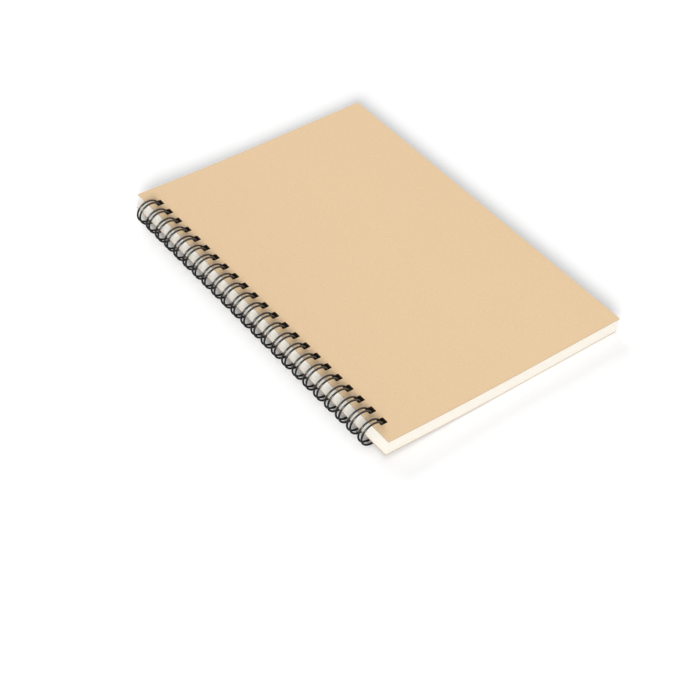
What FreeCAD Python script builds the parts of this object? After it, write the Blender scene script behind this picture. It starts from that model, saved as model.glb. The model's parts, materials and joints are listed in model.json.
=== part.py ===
import FreeCAD, Part
import math
import os
from FreeCAD import Vector

# Spiral notebook: two card covers and a block of leaves on a comb of twin-loop wire.
# The loops hold the spine off the table, so the sheets bend gently down to lie flat beyond it.
# It is laid out with the sheets level at the spine, X from the spine to the fore-edge, Y from
# tail to head and Z up, measured from the axis that runs through the middle of all the loops.
# At the end it is turned to lie as it rests on a table.

# Sheets
sheet_width = 142.0          # spine edge to fore-edge
sheet_height = 210.0         # tail to head
cover_thickness = 0.5
block_thickness = 7.3        # about sixty leaves, pressed by hand
leaf_gap = 0.05              # air between a cover and the leaves
spine_lean = 1.0             # how far the lowest sheet lies outside the top one at the spine

# The bend of the sheets
spine_tilt = 2.6             # degrees that the sheets slope at the spine, above the table
bend_start = 12.0            # from the loops' axis, where the front cover begins to bend

# Wire
wire_diameter = 1.0
leg_spacing = 2.4            # between the centres of the two legs of a loop
loop_pitch = 25.4 / 3.0      # three loops to the inch
end_margin = 9.0             # least distance from the ends of the spine to a loop
ring_above = 2.8             # centre of the wire over the front cover, at the top of a loop
ring_below = 1.6             # centre of the wire under the back cover, at the bottom of a loop
root_bend = 1.0              # radius of the bend from a leg into the link to the next loop
wire_sides = 6               # flat sides of the wire's section
ring_steps = 16              # straight lengths in one leg, from its root to its tip
tip_steps = 4                # straight lengths in the turn at a loop's tip
bend_steps = 2               # straight lengths in a root bend

# Clearances
hole_room_y = 0.2            # each side of the wire pair, along the spine
hole_room_out = 0.5          # outside the loops, towards the fore-edge
hole_room_in = 0.3           # inside the loops, towards the spine
turn_clearance = 0.2         # between the spine and a cover turned right over
seam_clearance = 0.1         # between the root links and the back cover's side of the leaves
tip_clearance = 0.15         # between a loop's tip and the root bends beside it
relief_clearance = 0.25      # around the root links, where the last leaves bow over them

# The stack and the ring that holds it
stack_thickness = block_thickness + 2.0 * (cover_thickness + leaf_gap)
ring_radius = (ring_above + stack_thickness + ring_below) / 2.0
stack_top = ring_radius - ring_above
stack_bottom = stack_top - stack_thickness
block_top = stack_top - cover_thickness - leaf_gap
block_bottom = block_top - block_thickness
lean_slope = spine_lean / stack_thickness
lean_at_turned_cover = lean_slope * 2.0 * stack_top
ring_offset = (lean_at_turned_cover + turn_clearance) / 2.0

# The wire's section and how far the loops reach from their axis
wire_corner = wire_diameter / 2.0 * math.sqrt(
    2.0 * math.pi / (wire_sides * math.sin(2.0 * math.pi / wire_sides)))
wire_flat = wire_corner * math.cos(math.pi / wire_sides)

# The seam of the comb, where each loop's tip comes back to its root
root_level = block_bottom + wire_corner + seam_clearance
root_radius = math.hypot(ring_radius, root_bend)
root_angle = math.asin(root_level / root_radius)
leg_start = root_angle + math.atan2(root_bend, ring_radius)
tip_radius = leg_spacing / 2.0
tip_to_bend = tip_radius + root_bend + 2.0 * wire_corner + tip_clearance
tip_drop = math.sqrt(tip_to_bend ** 2 - (tip_radius + root_bend) ** 2) - root_bend
leg_end = root_angle - tip_drop / ring_radius + 2.0 * math.pi
leg_step = (leg_end - leg_start) / ring_steps
ring_reach = ring_radius + wire_flat / math.cos(leg_step / 2.0)
ring_inside = ring_radius * math.cos(leg_step / 2.0) - wire_flat

# Loops and the holes they pass through
loop_count = int((sheet_height - 2.0 * end_margin) / loop_pitch) + 1
loop_places = [(i - (loop_count - 1) / 2.0) * loop_pitch for i in range(loop_count)]
comb_half = loop_count * loop_pitch / 2.0
hole_width = leg_spacing + 2.0 * wire_corner + 2.0 * hole_room_y
hole_outer = ring_reach * math.sqrt(1.0 + lean_slope ** 2) + lean_slope * stack_top + hole_room_out
hole_inner = min(
    math.sqrt(ring_inside ** 2 - stack_top ** 2),
    math.sqrt(ring_inside ** 2 - stack_bottom ** 2) + spine_lean) - hole_room_in

# The bend ends where the back cover has come down to the table that the loops stand on
tilt = math.radians(spine_tilt)
half_tilt_slope = math.tan(tilt / 2.0)
lower_bend_start = bend_start - spine_lean
lower_bend_end = (
    ring_reach + stack_bottom * math.cos(tilt)
    - lower_bend_start * half_tilt_slope * math.cos(tilt)) / half_tilt_slope
bend_radius = (lower_bend_end - lower_bend_start) / math.sin(tilt)
flat_run = sheet_width - (bend_start - ring_offset) - bend_radius * tilt


def at_level(point, level):
    """A point of the top surface, moved down along the lean to another level."""
    depth = stack_top - level
    return point + Vector(-lean_slope * depth, 0.0, level)


def bend_point(angle):
    return Vector(bend_start + bend_radius * math.sin(angle), 0.0, bend_radius * (1.0 - math.cos(angle)))


def sheet_line(level):
    """A sheet seen from its tail: spine edge, start, middle and end of the bend, fore-edge."""
    bend_end = bend_point(tilt)
    fore_edge = bend_end + Vector(math.cos(tilt), 0.0, math.sin(tilt)) * flat_run
    line = [Vector(ring_offset, 0.0, 0.0), bend_point(0.0), bend_point(tilt / 2.0), bend_end, fore_edge]
    return [at_level(point, level) for point in line]


def sheet_edges(line):
    return [
        Part.LineSegment(line[0], line[1]).toShape(),
        Part.Arc(line[1], line[2], line[3]).toShape(),
        Part.LineSegment(line[3], line[4]).toShape()]


def sheets(top, bottom):
    """One cover or the whole block, before it is punched."""
    upper = sheet_line(top)
    lower = sheet_line(bottom)
    fore_edge = Part.LineSegment(upper[4], lower[4]).toShape()
    spine = Part.LineSegment(lower[0], upper[0]).toShape()
    profile = Part.Wire(sheet_edges(upper) + [fore_edge] + sheet_edges(lower)[::-1] + [spine])
    body = Part.Face(profile).extrude(Vector(0.0, sheet_height, 0.0))
    body.translate(Vector(0.0, -sheet_height / 2.0, 0.0))
    return body


def hole(y, top, bottom):
    low, high = y - hole_width / 2.0, y + hole_width / 2.0
    corners = [
        Vector(hole_inner, low, 0.0),
        Vector(hole_outer, low, 0.0),
        Vector(hole_outer, high, 0.0),
        Vector(hole_inner, high, 0.0)]
    corners = [at_level(corner, top) for corner in corners]
    depth = top - bottom
    face = Part.Face(Part.makePolygon(corners + corners[:1]))
    return face.extrude(Vector(-lean_slope * depth, 0.0, -depth))


def punched_sheets(top, bottom):
    """One cover or the whole block with its row of holes, punched a little past both faces."""
    holes = [hole(y, top + cover_thickness, bottom - cover_thickness) for y in loop_places]
    return sheets(top, bottom).cut(Part.makeCompound(holes))


def ring_point(angle, y):
    return Vector(ring_radius * math.cos(angle), y, ring_radius * math.sin(angle))


def ring_tangent(angle):
    return Vector(-math.sin(angle), 0.0, math.cos(angle))


def turn_points(centre, start_way, side_way, radius, sweep, steps):
    """Points along an arc that starts along start_way from its centre and bends towards side_way."""
    return [
        centre + start_way * (radius * math.cos(sweep * k / steps))
        + side_way * (radius * math.sin(sweep * k / steps))
        for k in range(steps + 1)]


def leg_points(y):
    return [ring_point(leg_start + leg_step * k, y) for k in range(ring_steps + 1)]


def loop_path():
    """One loop with half of the link on each side: root, leg, tip, leg, root."""
    along = Vector(0.0, 1.0, 0.0)
    rise = ring_tangent(leg_start)
    bend_centre = ring_point(leg_start, -tip_radius - root_bend)
    half_link = [bend_centre - rise * root_bend]
    half_link[0].y = -loop_pitch / 2.0
    bend = turn_points(bend_centre, rise * -1.0, along, root_bend, math.pi / 2.0, bend_steps)
    tip = turn_points(
        ring_point(leg_end, 0.0), along * -1.0, ring_tangent(leg_end), tip_radius, math.pi, tip_steps)
    first_half = half_link + bend[:-1] + leg_points(-tip_radius)
    second_half = [Vector(p.x, -p.y, p.z) for p in reversed(first_half)]
    return first_half + tip[1:-1] + second_half


def wire_loop():
    """The wire's section swept along one loop, with a flat side facing away from the ring's axis."""
    path = loop_path()
    outward = Vector(math.cos(leg_start), 0.0, math.sin(leg_start))
    upward = ring_tangent(leg_start)
    corners = []
    for k in range(wire_sides + 1):
        angle = 2.0 * math.pi * (k + 0.5) / wire_sides
        corners.append(path[0] + (outward * math.cos(angle) + upward * math.sin(angle)) * wire_corner)
    return Part.makePolygon(path).makePipeShell([Part.makePolygon(corners)], True, False, 1)


def binding_wire():
    """The comb: one length of wire that forms every loop in turn."""
    loop = wire_loop()
    loops = []
    for y in loop_places:
        copy = loop.copy()
        copy.translate(Vector(0.0, y, 0.0))
        loops.append(copy)
    return loops[0].fuse(loops[1:]).removeSplitter()


def front_cover():
    return punched_sheets(stack_top, stack_top - cover_thickness)


def page_block():
    """All the leaves, with the shallow relief where the last of them bow over the root links."""
    leaves = punched_sheets(block_top, block_bottom)
    root_x = root_radius * math.cos(root_angle)
    half_width = wire_corner + relief_clearance
    relief = Part.makeBox(
        2.0 * half_width,
        2.0 * (comb_half + relief_clearance),
        root_level + half_width - block_bottom + leaf_gap,
        Vector(root_x - half_width, -comb_half - relief_clearance, block_bottom - leaf_gap))
    return leaves.cut(relief)


def back_cover():
    return punched_sheets(stack_bottom + cover_thickness, stack_bottom)


def lie_down(nodes):
    """Turn every piece about the ring's axis to rest, and bring the foot of the whole to the origin."""
    for shape in nodes.values():
        shape.rotate(Vector(0.0, 0.0, 0.0), Vector(0.0, 1.0, 0.0), spine_tilt)
    box = Part.makeCompound(list(nodes.values())).BoundBox
    shift = Vector(-box.Center.x, -box.Center.y, -box.ZMin)
    for shape in nodes.values():
        shape.translate(shift)
    print("hinge axis at x %.4f, z %.4f mm" % (shift.x, shift.z))
    print("overall %.2f x %.2f x %.2f mm" % (box.XLength, box.YLength, box.ZLength))
    print("bend from x %.2f to %.2f, radius %.1f mm" % (bend_start, bend_point(tilt).x, bend_radius))
    print("holes from x %.3f to %.3f, spine edge at %.3f" % (hole_inner, hole_outer, ring_offset))


nodes = {
    "front_cover": front_cover(),
    "page_block": page_block(),
    "back_cover": back_cover(),
    "binding_wire": binding_wire()}
lie_down(nodes)
os.makedirs("parts", exist_ok=True)
for name, shape in nodes.items():
    shape.exportStep("parts/%s.step" % name)
    print(name, "valid", shape.isValid(), "solids", len(shape.Solids), "volume", round(shape.Volume, 2))
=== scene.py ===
import bpy
import bmesh
import json
import math
from mathutils import Matrix, Vector


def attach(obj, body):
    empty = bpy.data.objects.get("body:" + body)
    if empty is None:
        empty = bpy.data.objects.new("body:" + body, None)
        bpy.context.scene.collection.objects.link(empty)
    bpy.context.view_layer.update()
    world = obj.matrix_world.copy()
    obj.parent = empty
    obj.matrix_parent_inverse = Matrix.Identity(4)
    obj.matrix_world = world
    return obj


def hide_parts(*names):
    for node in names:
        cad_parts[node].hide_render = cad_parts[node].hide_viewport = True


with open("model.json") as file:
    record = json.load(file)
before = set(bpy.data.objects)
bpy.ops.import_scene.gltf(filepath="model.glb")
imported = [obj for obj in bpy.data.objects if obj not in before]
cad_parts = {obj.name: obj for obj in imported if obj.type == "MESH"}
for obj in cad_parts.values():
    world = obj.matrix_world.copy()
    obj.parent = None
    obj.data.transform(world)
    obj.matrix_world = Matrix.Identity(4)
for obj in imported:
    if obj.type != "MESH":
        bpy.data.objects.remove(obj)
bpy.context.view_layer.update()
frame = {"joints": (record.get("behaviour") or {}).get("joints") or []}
mm = 0.001

# Helpers that all pieces and materials share

class Socket:
    # one output of a node; sums and products of sockets add their own Math nodes
    def __init__(self, owner, source):
        self.owner = owner
        self.source = source

    def out(self, name):
        return Socket(self.owner, self.source.node.outputs[name])

    def maths(self, operation, first, second):
        return self.owner.add("ShaderNodeMath", {"operation": operation}, {0: first, 1: second})

    def __add__(self, other):
        return self.maths("ADD", self, other)

    def __sub__(self, other):
        return self.maths("SUBTRACT", self, other)

    def __rsub__(self, other):
        return self.maths("SUBTRACT", other, self)

    def __mul__(self, other):
        return self.maths("MULTIPLY", self, other)

    def __truediv__(self, other):
        return self.maths("DIVIDE", self, other)

    def __rtruediv__(self, other):
        return self.maths("DIVIDE", other, self)

    def __lt__(self, other):
        return self.maths("LESS_THAN", self, other)

    def __gt__(self, other):
        return self.maths("GREATER_THAN", self, other)

    __radd__ = __add__
    __rmul__ = __mul__


class Tree:
    # a node tree with one method that adds any node
    def __init__(self, tree):
        self.tree = tree

    def add(self, kind, settings=None, inputs=None, output=0):
        node = self.tree.nodes.new(kind)
        for name, value in (settings or {}).items():
            if name == "stops":
                self.setStops(node.color_ramp, value)
            else:
                setattr(node, name, value)
        for name, value in (inputs or {}).items():
            self.feed(node.inputs[name], value)
        # a tree's last node has no outputs, so its first input stands in for one
        return Socket(self, node.outputs[output] if node.outputs else node.inputs[0])

    def feed(self, socket, value):
        if isinstance(value, Socket):
            self.tree.links.new(value.source, socket)
        else:
            socket.default_value = value

    def setStops(self, ramp, stops):
        while len(ramp.elements) < len(stops):
            ramp.elements.new(1.0)
        for element, (place, grey) in zip(ramp.elements, stops):
            element.position = place
            element.color = (grey, grey, grey, 1.0)


def linearColour(red, green, blue):
    # a colour given on a 0 to 255 scale, as Blender's linear values
    def channel(value):
        share = value / 255.0
        return share / 12.92 if share <= 0.04045 else ((share + 0.055) / 1.055) ** 2.4
    return (channel(red), channel(green), channel(blue), 1.0)


def freshMaterial(name):
    material = bpy.data.materials.new(name)
    material.use_nodes = True
    material.node_tree.nodes.clear()
    return material, Tree(material.node_tree)


def finishMaterial(tree, inputs):
    shader = tree.add("ShaderNodeBsdfPrincipled", {}, inputs)
    tree.add("ShaderNodeOutputMaterial", {}, {"Surface": shader})


def mixColours(tree, share, first, second):
    # a Mix node takes colours at its inputs 6 and 7 and gives one at its output 2
    return tree.add("ShaderNodeMix", {"data_type": "RGBA"}, {0: share, 6: first, 7: second}, 2)


def addObject(name, data):
    made = bpy.data.objects.new(name, data)
    bpy.context.scene.collection.objects.link(made)
    return made


def bakeModifiers(source, name, material):
    # the evaluated result as a plain mesh of its own; the source object goes
    bpy.context.view_layer.update()
    depsgraph = bpy.context.evaluated_depsgraph_get()
    mesh = bpy.data.meshes.new_from_object(source.evaluated_get(depsgraph), depsgraph=depsgraph)
    mesh.name = name
    bpy.data.objects.remove(source)
    piece = addObject(name, mesh)
    if not mesh.materials:
        mesh.materials.append(material)
    return piece


def nodesModifier(target, group, values):
    # inputs are set by their identifiers before the object is first evaluated
    modifier = target.modifiers.new(group.name, "NODES")
    modifier.node_group = group
    for item in group.interface.items_tree:
        if item.in_out == "INPUT" and item.name in values:
            modifier[item.identifier] = values[item.name]
    return modifier


def newGroup(name, inputs):
    group = bpy.data.node_groups.new(name, "GeometryNodeTree")
    for socketName, kind in inputs:
        group.interface.new_socket(name=socketName, in_out="INPUT", socket_type=kind)
    group.interface.new_socket(name="Geometry", in_out="OUTPUT", socket_type="NodeSocketGeometry")
    return group, Tree(group)


# The layout, in metres, is measured from the axis through the loops, with the sheets level at
# the spine and bending up beyond it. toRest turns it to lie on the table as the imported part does.

layout = {
    "sheetWidth": 142.0 * mm,
    "sheetHeight": 210.0 * mm,
    "coverThickness": 0.5 * mm,
    "leafGap": 0.05 * mm,
    "stackThickness": 8.4 * mm,
    "stackTop": 3.6 * mm,  # above the axis
    "spineEdge": 0.5286 * mm,  # the front cover's spine edge, from the axis
    "spineLean": 1.0 * mm,  # the lowest sheet stands out this far
    "spineTilt": math.radians(2.6),
    "bendStart": 12.0 * mm,
    "bendRadius": 1544.8 * mm,
    "holeInner": 3.985 * mm,
    "holeOuter": 7.861 * mm,
    "holeWidth": 3.90 * mm,
    "loopCount": 23,
    "loopPitch": 25.4 / 3.0 * mm,
}
hinge = Vector(frame["joints"][0]["pos_m"])  # on the axis through the loops, for both covers
toRest = Matrix.Translation(hinge) @ Matrix.Rotation(layout["spineTilt"], 4, "Y")
leanSlope = layout["spineLean"] / layout["stackThickness"]
middleLoop = (layout["loopCount"] - 1) / 2.0
loopPlaces = [(k - middleLoop) * layout["loopPitch"] for k in range(layout["loopCount"])]
combHalf = layout["loopCount"] * layout["loopPitch"] / 2.0


def bentPoint(point):
    # a point of the flat stack, moved to where the bend of the sheets carries it
    lean = leanSlope * (layout["stackTop"] - point.z)
    beyond = point.x + lean - layout["bendStart"]
    if beyond <= 0.0:
        return point
    angle = min(beyond / layout["bendRadius"], layout["spineTilt"])
    straight = beyond - layout["bendRadius"] * angle
    along = layout["bendRadius"] * math.sin(angle) + straight * math.cos(angle)
    rise = layout["bendRadius"] * (1.0 - math.cos(angle)) + straight * math.sin(angle)
    return Vector((layout["bendStart"] + along - lean, point.y, point.z + rise))


def layAtRest(data):
    for vertex in data.vertices:
        vertex.co = toRest @ bentPoint(vertex.co)


print("frame loaded, loops' axis at %.3f, %.3f mm" % (hinge.x / mm, hinge.z / mm))


# Camera, at the photograph's angle and distance

def makeCamera():
    view = {
        "azimuth": -39.20,
        "elevation": 44.21,
        "roll": 3.30,
        "distance": 821.6 * mm,
        "aimX": 21.10 * mm,  # on the front cover, from its tail corner at the spine
        "aimY": 60.33 * mm,
        "focalPixels": 1741.4,
        "imageSize": 690,
        "sensorWidth": 36.0,
        "clipStart": 0.01,
        "clipEnd": 50.0,
        "nudge": 0.236 * mm,  # half a pixel at the notebook's distance
    }
    azimuth = math.radians(view["azimuth"])
    elevation = math.radians(view["elevation"])
    backward = Vector((
        math.sin(azimuth) * math.cos(elevation),
        -math.cos(azimuth) * math.cos(elevation),
        math.sin(elevation)))
    sideways = Vector((0.0, 0.0, 1.0)).cross(backward).normalized()
    upward = backward.cross(sideways)
    turn = Matrix((sideways, upward, backward)).transposed().to_4x4() @ Matrix.Rotation(
        math.radians(view["roll"]), 4, "Z")
    tail = -layout["sheetHeight"] / 2.0
    spineCorner = toRest @ Vector((layout["spineEdge"], tail, layout["stackTop"]))
    foreCorner = toRest @ bentPoint(
        Vector((layout["spineEdge"] + layout["sheetWidth"], tail, layout["stackTop"])))
    chord = foreCorner - spineCorner
    toCover = Matrix.Translation(spineCorner) @ Matrix.Rotation(-math.atan2(chord.z, chord.x), 4, "Y")
    aim = Vector((view["aimX"], view["aimY"], 0.0))
    data = bpy.data.cameras.new("photoCamera")
    data.sensor_width = view["sensorWidth"]
    data.lens = view["focalPixels"] / view["imageSize"] * view["sensorWidth"]
    data.clip_start = view["clipStart"]
    data.clip_end = view["clipEnd"]
    camera = addObject("photoCamera", data)
    camera.matrix_world = (
        toCover @ Matrix.Translation(aim + backward * view["distance"]) @ turn
        @ Matrix.Translation((-view["nudge"], view["nudge"], 0.0)))
    bpy.context.scene.camera = camera


makeCamera()
print("camera set")


# Materials

noiseMiddle = 0.5  # the value that a noise swings about


def holeShadeMask(tree, place, margin):
    # 1 on the walls of the punched holes and for a margin around them, by Object coordinates; the
    # materials paint the holes' shade there
    level = tree.add("ShaderNodeVectorRotate", {"rotation_type": "Y_AXIS"}, {
        "Vector": place, "Center": hinge, "Angle": -layout["spineTilt"]})
    parts = tree.add("ShaderNodeSeparateXYZ", {}, {"Vector": level})
    depth = hinge.z + layout["stackTop"] - parts.out("Z")
    along = parts.out("X") - hinge.x + depth * leanSlope
    across = tree.add("ShaderNodeMath", {"operation": "PINGPONG"}, {
        0: parts.out("Y"), 1: layout["loopPitch"] / 2.0})
    fromMiddle = tree.add("ShaderNodeMath", {"operation": "ABSOLUTE"}, {0: parts.out("Y")})
    inside = (along > layout["holeInner"] - margin) * (along < layout["holeOuter"] + margin)
    return inside * (across < layout["holeWidth"] / 2.0 + margin) * (fromMiddle < combHalf)


def cardMaterial():
    card = {
        "colour": linearColour(232, 201, 160),
        "darkFibre": linearColour(192, 158, 114),
        "paleFibre": linearColour(246, 224, 190),
        "cloudScale": 38.0,
        "cloudDepth": 0.10,
        "fibreScale": 3400.0,
        "fibreStretch": 4.0,
        "fibreDirections": (0.3, 1.35, 2.4),
        "fibreScaleStep": 0.13,  # each direction is that much finer than the one before
        "darkStops": ((0.38, 1.0), (0.48, 0.0)),
        "paleStops": ((0.52, 0.0), (0.62, 1.0)),
        "darkShare": 0.20,
        "paleShare": 0.22,
        "roughness": 0.82,
        "roughnessSwing": 0.3,
        "bumpStrength": 0.5,
        "bumpHeight": 0.02 * mm,
    }
    material, tree = freshMaterial("brownCard")
    place = tree.add("ShaderNodeTexCoord", {}, {}, "Object")
    cloud = tree.add("ShaderNodeTexNoise", {}, {
        "Vector": place, "Scale": card["cloudScale"], "Detail": 4.0, "Roughness": 0.6})
    fibres = None
    for k, angle in enumerate(card["fibreDirections"]):
        turned = tree.add("ShaderNodeMapping", {"vector_type": "TEXTURE"}, {
            "Vector": place,
            "Rotation": (0.0, 0.0, angle),
            "Scale": (card["fibreStretch"], 1.0, 1.0)})
        grain = tree.add("ShaderNodeTexNoise", {}, {
            "Vector": turned, "Scale": card["fibreScale"] * (1.0 + card["fibreScaleStep"] * k),
            "Detail": 2.0, "Roughness": 0.5})
        fibres = grain if fibres is None else fibres + grain
    fibres = fibres / len(card["fibreDirections"])
    dark = tree.add("ShaderNodeValToRGB", {"stops": card["darkStops"]}, {"Fac": fibres})
    pale = tree.add("ShaderNodeValToRGB", {"stops": card["paleStops"]}, {"Fac": fibres})
    darkness = (cloud - noiseMiddle) * card["cloudDepth"] + dark * card["darkShare"]
    shade = mixColours(tree, darkness, card["colour"], card["darkFibre"])
    colour = mixColours(tree, pale * card["paleShare"], shade, card["paleFibre"])
    bump = tree.add("ShaderNodeBump", {}, {
        "Height": fibres, "Strength": card["bumpStrength"], "Distance": card["bumpHeight"]})
    finishMaterial(tree, {
        "Base Color": colour,
        "Roughness": card["roughness"] + (fibres - noiseMiddle) * card["roughnessSwing"],
        "Normal": bump})
    return material


def cutEdgeMaterial():
    edge = {
        "colour": linearColour(196, 180, 160),
        "ply": linearColour(168, 148, 124),
        # painted shade: the cut edge turns darker on the walls of the holes, where shade falls
        "paintedHoleShade": linearColour(104, 80, 56),
        "holeMargin": 0.02 * mm,
        "plyScale": 5200.0,
        "plyStretch": (0.12, 0.12, 1.0),  # the plies run along the sheet
        "roughness": 0.9,
        "bumpStrength": 0.4,
        "bumpHeight": 0.02 * mm,
    }
    material, tree = freshMaterial("cardCutEdge")
    place = tree.add("ShaderNodeTexCoord", {}, {}, "Object")
    plies = tree.add("ShaderNodeMapping", {}, {"Vector": place, "Scale": edge["plyStretch"]})
    grain = tree.add("ShaderNodeTexNoise", {}, {
        "Vector": plies, "Scale": edge["plyScale"], "Detail": 2.0, "Roughness": 0.6})
    paintedHoleShade = holeShadeMask(tree, place, edge["holeMargin"])
    cutColour = mixColours(tree, grain, edge["colour"], edge["ply"])
    # painted shade on the walls of the holes
    colour = mixColours(tree, paintedHoleShade, cutColour, edge["paintedHoleShade"])
    bump = tree.add("ShaderNodeBump", {}, {
        "Height": grain, "Strength": edge["bumpStrength"], "Distance": edge["bumpHeight"]})
    finishMaterial(tree, {"Base Color": colour, "Roughness": edge["roughness"], "Normal": bump})
    return material


def paperMaterial():
    paper = {
        "colour": linearColour(250, 246, 238),
        "shade": linearColour(236, 228, 214),
        # painted shade: the paper turns dark brown on the walls of the holes and a thin rim around
        # them, where shade falls in the holes
        "paintedHoleShade": linearColour(30, 19, 12),
        "holeMargin": 0.20 * mm,
        "grainScale": 2600.0,
        "toneShare": 0.5,  # how much a leaf's own tone shifts it towards the shade
        "grainShare": 0.25,
        "roughness": 0.82,
        "bumpStrength": 0.25,
        "bumpHeight": 0.01 * mm,
    }
    material, tree = freshMaterial("creamPaper")
    place = tree.add("ShaderNodeTexCoord", {}, {}, "Object")
    grain = tree.add("ShaderNodeTexNoise", {}, {
        "Vector": place, "Scale": paper["grainScale"], "Detail": 2.0, "Roughness": 0.5})
    tone = tree.add("ShaderNodeAttribute", {"attribute_name": "leafTone"}, {}, "Fac")
    paintedHoleShade = holeShadeMask(tree, place, paper["holeMargin"])
    shading = tone * paper["toneShare"] + grain * paper["grainShare"]
    leafColour = mixColours(tree, shading, paper["colour"], paper["shade"])
    # painted shade in and around the holes
    colour = mixColours(tree, paintedHoleShade, leafColour, paper["paintedHoleShade"])
    bump = tree.add("ShaderNodeBump", {}, {
        "Height": grain, "Strength": paper["bumpStrength"], "Distance": paper["bumpHeight"]})
    finishMaterial(tree, {"Base Color": colour, "Roughness": paper["roughness"], "Normal": bump})
    return material


def wireMaterial():
    coating = {
        "colour": linearColour(15, 14, 13),
        "worn": linearColour(34, 31, 29),
        "wearScale": 700.0,
        "roughness": 0.14,
        "roughnessSwing": 0.10,
        "coatWeight": 0.2,
        "coatRoughness": 0.08,
        "bumpStrength": 0.15,
        "bumpHeight": 0.01 * mm,
    }
    material, tree = freshMaterial("blackWire")
    place = tree.add("ShaderNodeTexCoord", {}, {}, "Object")
    wear = tree.add("ShaderNodeTexNoise", {}, {
        "Vector": place, "Scale": coating["wearScale"], "Detail": 3.0, "Roughness": 0.6})
    colour = mixColours(tree, wear, coating["colour"], coating["worn"])
    bump = tree.add("ShaderNodeBump", {}, {
        "Height": wear, "Strength": coating["bumpStrength"], "Distance": coating["bumpHeight"]})
    finishMaterial(tree, {
        "Base Color": colour,
        "Roughness": coating["roughness"] + wear * coating["roughnessSwing"],
        "Coat Weight": coating["coatWeight"],
        "Coat Roughness": coating["coatRoughness"],
        "Normal": bump})
    return material


materials = {
    "card": cardMaterial(),
    "cutEdge": cutEdgeMaterial(),
    "paper": paperMaterial(),
    "wire": wireMaterial(),
}
print("materials made")


# Sheets: a grid of cells around the holes, then plain strips across the bend

sheetGrid = {
    "combMargin": 0.5 * mm,  # from the last link to the row where the leaves begin to come down
    "seamMargin": 3.4 * mm,  # from the last link to the row where they lie flat
    "web": 1.5 * mm,  # the column between the holes and the plain strips
}
neighbours = ((0, -1), (1, 0), (0, 1), (-1, 0))  # the cells beside a cell, column and row


def spreadBetween(low, high, count):
    return [low + (high - low) * k / count for k in range(count + 1)]


def sheetRows():
    # the ends of the sheet, two rows where the leaves come down past the comb, and each hole's sides
    half = layout["sheetHeight"] / 2.0
    ends = [half, combHalf + sheetGrid["seamMargin"], combHalf + sheetGrid["combMargin"]]
    rows = [-end for end in ends]
    for place in loopPlaces:
        rows += [place - layout["holeWidth"] / 2.0, place + layout["holeWidth"] / 2.0]
    rows += reversed(ends)
    openRows = range(len(ends), len(ends) + 2 * len(loopPlaces), 2)
    return rows, set(openRows)


def addPair(mesh, upper, lower):
    # one face above and the same below, turned over
    mesh.faces.new(upper)
    mesh.faces.new(list(reversed(lower)))


def addCells(mesh, grids, openColumns, openRows):
    # the cells that are cut by every row, each with a wall wherever a hole or the edge lies beside it
    columnCount = len(grids[0]) - 1
    rowCount = len(grids[0][0]) - 1

    def isSolid(column, row):
        inside = 0 <= column < columnCount and 0 <= row < rowCount
        return inside and not (column in openColumns and row in openRows)

    for i in range(columnCount):
        for j in range(rowCount):
            if not isSolid(i, j):
                continue
            ring = [(i, j), (i + 1, j), (i + 1, j + 1), (i, j + 1)]
            upper, lower = [[grid[a][b] for a, b in ring] for grid in grids]
            addPair(mesh, upper, lower)
            for side, (di, dj) in enumerate(neighbours):
                if isSolid(i + di, j + dj) or i + di == columnCount:
                    continue
                (a, b), (c, d) = ring[side], ring[(side + 1) % 4]
                mesh.faces.new([grids[0][c][d], grids[0][a][b], grids[1][a][b], grids[1][c][d]])


def addStrips(mesh, grids, ends):
    # plain strips from tail to head; one many-sided face joins the first to the last cut column
    upper, lower = [
        [end[0][0], end[0][1]] + list(reversed(grid[-1])) for grid, end in zip(grids, ends)]
    addPair(mesh, upper, lower)
    for k in range(len(ends[0]) - 1):
        upper, lower = [[end[k][0], end[k + 1][0], end[k + 1][1], end[k][1]] for end in ends]
        addPair(mesh, upper, lower)
    for side, row in ((0, 0), (1, -1)):
        upper, lower = [
            [grid[-1][row]] + [pair[side] for pair in end] for grid, end in zip(grids, ends)]
        for k in range(len(ends[0])):
            mesh.faces.new([upper[k], lower[k], lower[k + 1], upper[k + 1]])
    mesh.faces.new([ends[0][-1][0], ends[1][-1][0], ends[1][-1][1], ends[0][-1][1]])


def punchedSheet(name, columns, openColumns, strips, thickness):
    # the top face lies at level 0, and the bottom one lies lower and further out by the lean
    rows, openRows = sheetRows()
    mesh = bmesh.new()
    levels = ((0.0, 0.0), (-leanSlope * thickness, -thickness))
    grids = [
        [[mesh.verts.new((x + shift, y, z)) for y in rows] for x in columns]
        for shift, z in levels]
    ends = [
        [[mesh.verts.new((x + shift, y, z)) for y in (rows[0], rows[-1])] for x in strips]
        for shift, z in levels]
    addCells(mesh, grids, openColumns, openRows)
    addStrips(mesh, grids, ends)
    loose = [v for v in mesh.verts if not v.link_faces]
    bmesh.ops.delete(mesh, geom=loose, context="VERTS")
    bmesh.ops.recalc_face_normals(mesh, faces=mesh.faces)
    data = bpy.data.meshes.new(name)
    mesh.to_mesh(data)
    mesh.free()
    return data


# Covers

cover = {
    "holeCorner": 0.45 * mm,
    "cornerSegments": 3,
    "cornerAngle": 1.0,  # upright edges that turn by more than this, in radians, are a hole's corners
    "cornerReach": 1.0 * mm,  # the holes' corners lie further than this from the spine edge
    "rim": 0.07 * mm,
    "rimSegments": 2,
    "rimAngle": math.radians(50.0),
    "cutSlope": 0.3,  # faces whose normal rises less than this are cut edge
    "bendStrips": 14,
}


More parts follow.
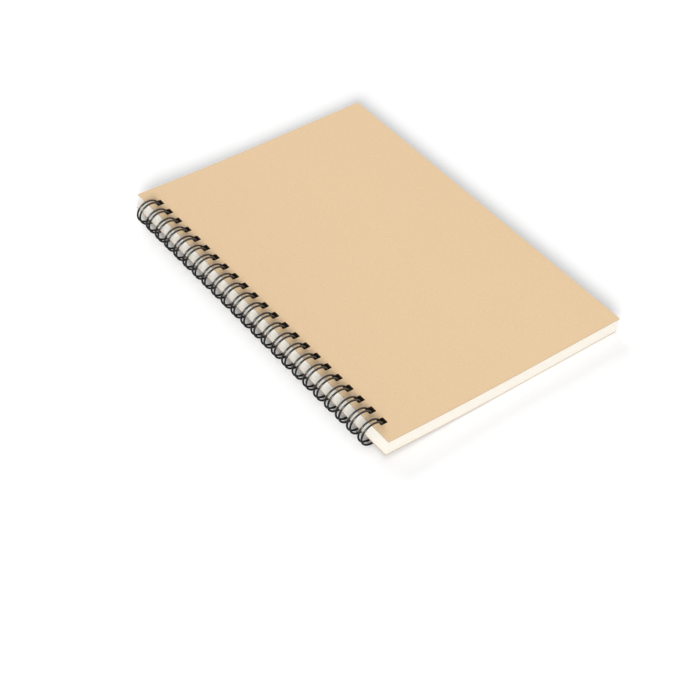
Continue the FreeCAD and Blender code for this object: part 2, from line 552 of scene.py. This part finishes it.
def roundHoleCorners(data):
    # the punch leaves soft corners: upright edges of the holes are rounded
    mesh = bmesh.new()
    mesh.from_mesh(data)
    spineLimit = layout["spineEdge"] - layout["spineLean"] + cover["cornerReach"]
    outerLimit = layout["holeOuter"] + cover["cornerReach"]
    corners = []
    for edge in mesh.edges:
        start, end = edge.verts[0].co, edge.verts[1].co
        upright = abs(start.z - end.z) > layout["coverThickness"] / 2.0
        sharp = upright and edge.calc_face_angle(0.0) > cover["cornerAngle"]
        inRange = spineLimit < start.x < outerLimit and abs(start.y) < combHalf
        if sharp and inRange:
            corners.append(edge)
    bmesh.ops.bevel(
        mesh, geom=corners, offset=cover["holeCorner"], segments=cover["cornerSegments"],
        profile=0.5, affect="EDGES", clamp_overlap=True)
    mesh.to_mesh(data)
    mesh.free()


def makeCover(name, node, body, level):
    lean = leanSlope * (layout["stackTop"] - level)
    edge = layout["spineEdge"] - lean
    outer = layout["holeOuter"] - lean
    bendStart = layout["bendStart"] - lean
    bendEnd = bendStart + layout["bendRadius"] * layout["spineTilt"]
    columns = [edge, layout["holeInner"] - lean, outer, outer + sheetGrid["web"]]
    strips = spreadBetween(bendStart, bendEnd, cover["bendStrips"]) + [edge + layout["sheetWidth"]]
    data = punchedSheet(name, columns, (1,), strips, layout["coverThickness"])
    roundHoleCorners(data)
    source = addObject(name + "Source", data)
    bevel = source.modifiers.new("rim", "BEVEL")
    bevel.limit_method = "ANGLE"
    bevel.angle_limit = cover["rimAngle"]
    bevel.width = cover["rim"]
    bevel.segments = cover["rimSegments"]
    piece = bakeModifiers(source, name, materials["card"])
    piece.data.materials.append(materials["cutEdge"])
    for face in piece.data.polygons:
        face.material_index = 1 if abs(face.normal.z) < cover["cutSlope"] else 0
    piece.data.transform(Matrix.Translation((0.0, 0.0, level)))
    layAtRest(piece.data)
    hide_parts(node)
    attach(piece, body)
    return piece


frontLevel = layout["stackTop"]
backLevel = layout["stackTop"] - layout["stackThickness"] + layout["coverThickness"]
makeCover("frontCoverCard", "front_cover", "front", frontLevel)
makeCover("backCoverCard", "back_cover", "back", backLevel)
print("covers made")


# Leaves, one thin punched sheet repeated down the lean of the block

leaves = {
    "count": 60,
    "fullness": 0.93,  # share of the pitch that is paper
    "edgeScatter": 0.06 * mm,
    "seamPlace": 5.38 * mm,  # from the axis, where the root links lie
    "seamRise": 1.40 * mm,
    "seamReach": 3.2 * mm,
    "seamEnd": 100.6 * mm,  # from the middle of the spine, where the leaves lie flat again
    "seamFade": 2.8 * mm,
    "webColumns": 6,
    "bendStrips": 9,
    "seed": 7,
}


def leafGroup():
    group, tree = newGroup("stackOfLeaves", (
        ("Geometry", "NodeSocketGeometry"),
        ("Leaf Count", "NodeSocketInt"),
        ("Step Down", "NodeSocketVector"),
        ("Edge Scatter", "NodeSocketFloat"),
        ("Seam Place", "NodeSocketFloat"),
        ("Seam Rise", "NodeSocketFloat"),
        ("Seam Reach", "NodeSocketFloat"),
        ("Seam End", "NodeSocketFloat"),
        ("Seam Fade", "NodeSocketFloat"),
        ("Block Thickness", "NodeSocketFloat"),
        ("Seed", "NodeSocketInt"),
        ("Paper", "NodeSocketMaterial"),
    ))
    given = tree.add("NodeGroupInput")
    line = tree.add("GeometryNodeMeshLine", {"mode": "OFFSET"}, {
        "Count": given.out("Leaf Count"), "Offset": given.out("Step Down")})
    scatter = given.out("Edge Scatter")
    high = tree.add("ShaderNodeCombineXYZ", {}, {"X": scatter, "Y": scatter})
    low = tree.add("ShaderNodeCombineXYZ", {}, {"X": 0.0 - scatter, "Y": 0.0 - scatter})
    jog = tree.add("FunctionNodeRandomValue", {"data_type": "FLOAT_VECTOR"}, {
        0: low, 1: high, "Seed": given.out("Seed")})
    placed = tree.add("GeometryNodeSetPosition", {}, {"Geometry": line, "Offset": jog})
    tone = tree.add("FunctionNodeRandomValue", {"data_type": "FLOAT"}, {
        "Seed": given.out("Seed") + 1.0}, 1)
    toned = tree.add("GeometryNodeStoreNamedAttribute", {"data_type": "FLOAT", "domain": "POINT"}, {
        "Geometry": placed, "Name": "leafTone", "Value": tone})
    copies = tree.add("GeometryNodeInstanceOnPoints", {}, {
        "Points": toned, "Instance": given.out("Geometry")})
    whole = tree.add("GeometryNodeRealizeInstances", {}, {"Geometry": copies})
    position = tree.add("GeometryNodeInputPosition")
    parts = tree.add("ShaderNodeSeparateXYZ", {}, {"Vector": position})
    away = (parts.out("X") - given.out("Seam Place")) / given.out("Seam Reach")
    near = tree.add("ShaderNodeMath", {"operation": "MAXIMUM"}, {0: 1.0 - away * away, 1: 0.0})
    depth = (0.0 - parts.out("Z")) / given.out("Block Thickness")
    fromMiddle = tree.add("ShaderNodeMath", {"operation": "ABSOLUTE"}, {0: parts.out("Y")})
    fade = tree.add("ShaderNodeClamp", {}, {
        "Value": (given.out("Seam End") - fromMiddle) / given.out("Seam Fade")})
    rise = near * near * depth * fade * given.out("Seam Rise")
    bow = tree.add("ShaderNodeCombineXYZ", {}, {"Z": rise})
    bowed = tree.add("GeometryNodeSetPosition", {}, {"Geometry": whole, "Offset": bow})
    dressed = tree.add("GeometryNodeSetMaterial", {}, {
        "Geometry": bowed, "Material": given.out("Paper")})
    tree.add("NodeGroupOutput", {}, {"Geometry": dressed})
    return group


def makeLeaves():
    top = layout["stackTop"] - layout["coverThickness"] - layout["leafGap"]
    thickness = layout["stackThickness"] - 2.0 * (layout["coverThickness"] + layout["leafGap"])
    pitch = thickness / leaves["count"]
    lean = leanSlope * (layout["stackTop"] - top)
    edge = layout["spineEdge"] - lean
    web = spreadBetween(layout["holeInner"] - lean, layout["holeOuter"] - lean, leaves["webColumns"])
    columns = [edge + leaves["edgeScatter"]] + web + [web[-1] + sheetGrid["web"]]
    bendStart = layout["bendStart"] - lean
    bendEnd = bendStart + layout["bendRadius"] * layout["spineTilt"]
    strips = spreadBetween(bendStart, bendEnd, leaves["bendStrips"])
    strips.append(edge + layout["sheetWidth"] - leaves["edgeScatter"])
    openColumns = tuple(range(1, leaves["webColumns"] + 1))
    data = punchedSheet("leaf", columns, openColumns, strips, pitch * leaves["fullness"])
    for vertex in data.vertices:
        vertex.co.y *= 1.0 - leaves["edgeScatter"] / (layout["sheetHeight"] / 2.0)
    source = addObject("leafSource", data)
    nodesModifier(source, leafGroup(), {
        "Leaf Count": leaves["count"],
        "Step Down": (-leanSlope * pitch, 0.0, -pitch),
        "Edge Scatter": leaves["edgeScatter"],
        "Seam Place": leaves["seamPlace"],
        "Seam Rise": leaves["seamRise"],
        "Seam Reach": leaves["seamReach"],
        "Seam End": leaves["seamEnd"],
        "Seam Fade": leaves["seamFade"],
        "Block Thickness": thickness,
        "Seed": leaves["seed"],
        "Paper": materials["paper"],
    })
    piece = bakeModifiers(source, "paperLeaves", materials["paper"])
    piece.data.transform(Matrix.Translation((0.0, 0.0, top)))
    layAtRest(piece.data)
    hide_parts("page_block")
    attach(piece, "root")
    return piece


makeLeaves()
print("leaves made")


# Binding wire, one route through every loop

wire = {
    "diameter": 1.0 * mm,
    "legSpacing": 2.4 * mm,
    "ringRadius": 6.4 * mm,
    "rootBend": 1.0 * mm,
    "rootLevel": -3.60 * mm,  # the root links, from the axis
    "tipDrop": 1.66 * mm,  # from the root line to where a tip begins to turn
    "legSteps": 54,
    "tipSteps": 10,
    "bendSteps": 5,
    "sides": 14,
}


def ringPoint(angle, y):
    radius = wire["ringRadius"]
    return Vector((radius * math.cos(angle), y, radius * math.sin(angle)))


def ringTangent(angle):
    return Vector((-math.sin(angle), 0.0, math.cos(angle)))


def arcPoints(centre, startWay, sideWay, radius, sweep, steps):
    angles = spreadBetween(0.0, sweep, steps)
    return [centre + radius * (startWay * math.cos(a) + sideWay * math.sin(a)) for a in angles]


def loopRoute():
    # half a link, root bend, leg, tip, and the same again mirrored
    half = wire["legSpacing"] / 2.0
    bend = wire["rootBend"]
    radius = wire["ringRadius"]
    along = Vector((0.0, 1.0, 0.0))
    rootAngle = math.asin(wire["rootLevel"] / math.hypot(radius, bend))
    start = rootAngle + math.atan2(bend, radius)
    end = rootAngle - wire["tipDrop"] / radius + 2.0 * math.pi
    bendCentre = ringPoint(start, -half - bend)
    link = bendCentre - ringTangent(start) * bend
    link.y = -layout["loopPitch"] / 2.0
    rootTurn = arcPoints(bendCentre, -ringTangent(start), along, bend, math.pi / 2.0, wire["bendSteps"])
    leg = [ringPoint(angle, -half) for angle in spreadBetween(start, end, wire["legSteps"])]
    tip = arcPoints(ringPoint(end, 0.0), -along, ringTangent(end), half, math.pi, wire["tipSteps"])
    first = [link] + rootTurn[:-1] + leg
    second = [Vector((p.x, -p.y, p.z)) for p in reversed(first)]
    return first + tip[1:-1] + second


def wireGroup():
    group, tree = newGroup("sweptWire", (
        ("Geometry", "NodeSocketGeometry"),
        ("Wire Radius", "NodeSocketFloat"),
        ("Sides", "NodeSocketInt"),
        ("Coating", "NodeSocketMaterial"),
    ))
    given = tree.add("NodeGroupInput")
    section = tree.add("GeometryNodeCurvePrimitiveCircle", {"mode": "RADIUS"}, {
        "Resolution": given.out("Sides"), "Radius": given.out("Wire Radius")})
    swept = tree.add("GeometryNodeCurveToMesh", {}, {
        "Curve": given.out("Geometry"), "Profile Curve": section, "Fill Caps": True})
    smooth = tree.add("GeometryNodeSetShadeSmooth", {}, {"Geometry": swept, "Shade Smooth": True})
    whole = tree.add("GeometryNodeRealizeInstances", {}, {"Geometry": smooth})
    dressed = tree.add("GeometryNodeSetMaterial", {}, {
        "Geometry": whole, "Material": given.out("Coating")})
    tree.add("NodeGroupOutput", {}, {"Geometry": dressed})
    return group


def makeWire():
    route = []
    unit = loopRoute()
    for place in loopPlaces:
        points = [p + Vector((0.0, place, 0.0)) for p in unit]
        route += points if not route else points[1:]
    curve = bpy.data.curves.new("wireRoute", "CURVE")
    curve.dimensions = "3D"
    spline = curve.splines.new("POLY")
    spline.points.add(len(route) - 1)
    for point, place in zip(spline.points, route):
        point.co = (place.x, place.y, place.z, 1.0)
    source = addObject("wireSource", curve)
    nodesModifier(source, wireGroup(), {
        "Wire Radius": wire["diameter"] / 2.0,
        "Sides": wire["sides"],
        "Coating": materials["wire"],
    })
    piece = bakeModifiers(source, "bindingWire", materials["wire"])
    piece.data.transform(toRest)
    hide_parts("binding_wire")
    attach(piece, "root")
    return piece


makeWire()
print("wire made")


# Floor, light and world

def makeFloor():
    floor = {
        "size": 12.0,
        "cells": 8,
        "drop": 0.05 * mm,  # just under the table's plane, clear of the round wire
        "seen": (1.0, 1.0, 1.0, 1.0),  # the colour that the camera sees
        "bounce": linearColour(164, 164, 164),  # the colour that lights the notebook from below
        "unlit": (0.0, 0.0, 0.0, 1.0),
        "lift": 0.07,  # a little glow to the camera alone, so that the floor stays white
        "roughness": 0.9,
    }
    mesh = bmesh.new()
    bmesh.ops.create_grid(
        mesh, x_segments=floor["cells"], y_segments=floor["cells"], size=floor["size"] / 2.0)
    data = bpy.data.meshes.new("floor")
    mesh.to_mesh(data)
    mesh.free()
    material, tree = freshMaterial("floorWhite")
    toCamera = tree.add("ShaderNodeLightPath", {}, {}, "Is Camera Ray")
    lift = mixColours(tree, toCamera * floor["lift"], floor["unlit"], floor["seen"])
    finishMaterial(tree, {
        "Base Color": mixColours(tree, toCamera, floor["bounce"], floor["seen"]),
        "Roughness": floor["roughness"],
        "Specular IOR Level": 0.0,
        "Emission Color": lift,
        "Emission Strength": 1.0})
    data.materials.append(material)
    made = addObject("floor", data)
    made.location.z = -floor["drop"]


def makeLamp(lamp):
    data = bpy.data.lights.new(lamp["name"], "AREA")
    data.shape = "RECTANGLE"
    data.size = lamp["width"]
    data.size_y = lamp["length"]
    data.energy = lamp["power"]
    made = addObject(lamp["name"], data)
    towards = Vector(lamp["towards"]).normalized()
    made.location = towards * lamp["distance"]
    made.rotation_mode = "QUATERNION"
    made.rotation_quaternion = (-towards).to_track_quat("-Z", "Y")


keyLamp = {
    "name": "keyLamp",  # a low soft box in front of the tail corner at the spine
    "towards": (-0.61, -0.67, 0.41),
    "distance": 6.0,
    "width": 2.8,
    "length": 1.8,
    "power": 370.0,
}
headLamp = {
    "name": "headLamp",  # a broad low one beyond the head
    "towards": (0.10, 0.90, 0.42),
    "distance": 6.0,
    "width": 4.0,
    "length": 2.4,
    "power": 150.0,
}


def makeWorld():
    sky = {
        "strength": 0.42,
        "seenStrength": 1.0,  # to the camera and in reflections
        "colour": (1.0, 1.0, 1.0, 1.0),
    }
    world = bpy.data.worlds.new("studio")
    bpy.context.scene.world = world
    world.use_nodes = True
    world.node_tree.nodes.clear()
    tree = Tree(world.node_tree)
    path = tree.add("ShaderNodeLightPath")
    seen = path.out("Is Camera Ray") + path.out("Is Glossy Ray")
    strength = sky["strength"] + seen * (sky["seenStrength"] - sky["strength"])
    background = tree.add("ShaderNodeBackground", {}, {"Color": sky["colour"], "Strength": strength})
    tree.add("ShaderNodeOutputWorld", {}, {"Surface": background})


makeFloor()
makeLamp(keyLamp)
makeLamp(headLamp)
makeWorld()
bpy.context.scene.view_settings.view_transform = "Standard"
print("floor, lamps and world made")
